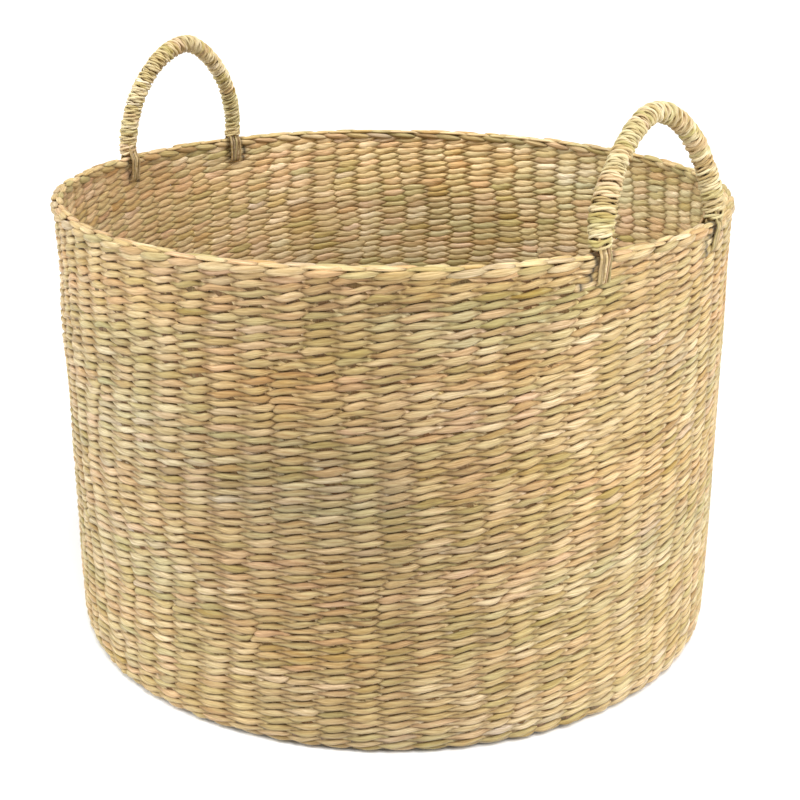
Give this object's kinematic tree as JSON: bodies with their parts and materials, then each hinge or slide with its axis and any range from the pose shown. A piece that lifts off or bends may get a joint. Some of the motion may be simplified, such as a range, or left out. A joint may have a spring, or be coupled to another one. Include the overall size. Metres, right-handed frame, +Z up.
{
  "type": "woven storage basket",
  "caption": "Round open storage basket of twined seagrass over upright stakes, with a folded rim and wrapped cord handles that hinge on the rim.",
  "frame": {"origin": "centre of the base, on the floor plane the basket stands on", "axes": "+Z up through the middle of the basket, +X through the first handle, +Y along that handle's hinge line"},
  "size_m": [0.5001, 0.5, 0.4336],
  "materials": {
    "wall_weft": "matt dried seagrass, straw with green and pink tints",
    "base_weft": "matt dried seagrass",
    "stakes": "matt dried seagrass, brown straw",
    "rim": "matt dried seagrass, pale straw",
    "handle_cord": "matt twisted fine cord, pale yellow green",
    "handle_strands": "matt dried seagrass strands"
  },
  "bodies": {
    "basket": {"base_centre": "base_weft", "base_corner_row": "base_weft", "base_edge_rows": "base_weft", "base_lower_rows_1": "base_weft", "base_lower_rows_2": "base_weft", "base_lower_rows_3": "base_weft", "base_spokes_inner": "stakes", "base_spokes_outer": "stakes", "base_upper_rows_1": "base_weft", "base_upper_rows_2": "base_weft", "base_upper_rows_3": "base_weft", "handle_a_anchor_1": "handle_strands", "handle_a_anchor_2": "handle_strands", "handle_b_anchor_1": "handle_strands", "handle_b_anchor_2": "handle_strands", "rim_border": "rim", "wall_rows_01": "wall_weft", "wall_rows_02": "wall_weft", "wall_rows_03": "wall_weft", "wall_rows_04": "wall_weft", "wall_rows_05": "wall_weft", "wall_rows_06": "wall_weft", "wall_rows_07": "wall_weft", "wall_rows_08": "wall_weft", "wall_rows_09": "wall_weft", "wall_rows_10": "wall_weft", "wall_rows_11": "wall_weft", "wall_rows_12": "wall_weft", "wall_rows_13": "wall_weft", "wall_rows_14": "wall_weft", "wall_rows_15": "wall_weft", "wall_rows_16": "wall_weft", "wall_rows_17": "wall_weft", "wall_rows_18": "wall_weft", "wall_rows_19": "wall_weft", "wall_rows_20": "wall_weft", "wall_rows_21": "wall_weft", "wall_rows_22": "wall_weft", "wall_rows_23": "wall_weft", "wall_rows_24": "wall_weft", "wall_rows_25": "wall_weft", "wall_rows_26": "wall_weft", "wall_rows_27": "wall_weft", "wall_rows_28": "wall_weft", "wall_rows_29": "wall_weft", "wall_stakes": "stakes"},
    "handle_a": {"handle_a_core": "handle_strands", "handle_a_wrap": "handle_cord"},
    "handle_b": {"handle_b_core": "handle_strands", "handle_b_wrap": "handle_cord"}
  },
  "joints": [
    {"name": "handle_a_hinge", "type": "hinge", "parent": "basket", "child": "handle_a", "pos_m": [0.23721, 0, 0.3486], "axis": [0, 1, 0], "range_deg": [-50, 50]},
    {"name": "handle_b_hinge", "type": "hinge", "parent": "basket", "child": "handle_b", "pos_m": [-0.23715, -0.01658, 0.3486], "axis": [0.0698, -0.9976, 0], "range_deg": [-50, 50]}
  ]
}
